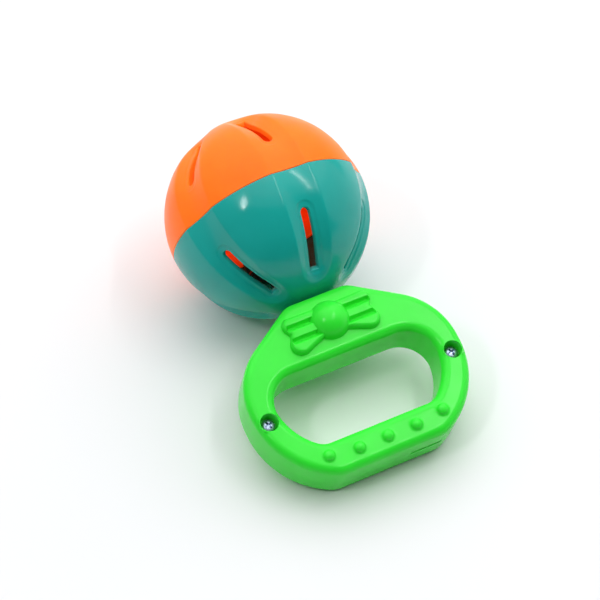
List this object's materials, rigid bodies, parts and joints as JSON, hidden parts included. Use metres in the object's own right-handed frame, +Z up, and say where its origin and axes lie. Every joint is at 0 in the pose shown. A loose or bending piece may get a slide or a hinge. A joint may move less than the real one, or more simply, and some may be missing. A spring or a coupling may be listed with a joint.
{
  "type": "baby rattle",
  "caption": "Two-colour fluted rattle ball with sound slots and a loose jingle bell inside, turning on the crown of a flat ring handle with a finger opening.",
  "frame": {"origin": "middle of the footprint on the surface that the rattle lies on, resting on its ball and on the rear edge of its grip", "axes": "+Z up from that surface, +Y from the grip towards the ball, +X across the handle"},
  "size_m": [0.0808, 0.1356, 0.0731],
  "materials": {
    "orange_plastic": "glossy moulded plastic, slightly translucent orange",
    "teal_plastic": "glossy moulded plastic, opaque teal",
    "green_plastic": "satin-gloss moulded plastic, bright green",
    "zinc_screw": "zinc-plated steel",
    "bell_nickel": "dull nickel-plated pressed steel",
    "bell_steel": "plain steel ball"
  },
  "bodies": {
    "handle": {"handle_front_half": "green_plastic", "handle_rear_half": "green_plastic", "handle_screw_left": "zinc_screw", "handle_screw_right": "zinc_screw"},
    "ball": {"ball_cap_shell": "orange_plastic", "ball_neck_shell": "teal_plastic"},
    "bell": {"bell_upper_cup": "bell_nickel", "bell_lower_cup": "bell_nickel"},
    "pellet": {"bell_pellet": "bell_steel"}
  },
  "joints": [
    {"name": "ball_spin", "type": "hinge", "parent": "handle", "child": "ball", "pos_m": [0, 0.03112, 0.0366], "axis": [0, 0.9609, 0.2769], "continuous": true},
    {"name": "bell_roll", "type": "hinge", "parent": "ball", "child": "bell", "pos_m": [0, 0.03112, 0.0366], "axis": [0, 0.9609, 0.2769], "continuous": true},
    {"name": "pellet_roll", "type": "hinge", "parent": "bell", "child": "pellet", "pos_m": [0, 0.03112, 0.0142], "axis": [1, 0, 0], "continuous": true}
  ]
}
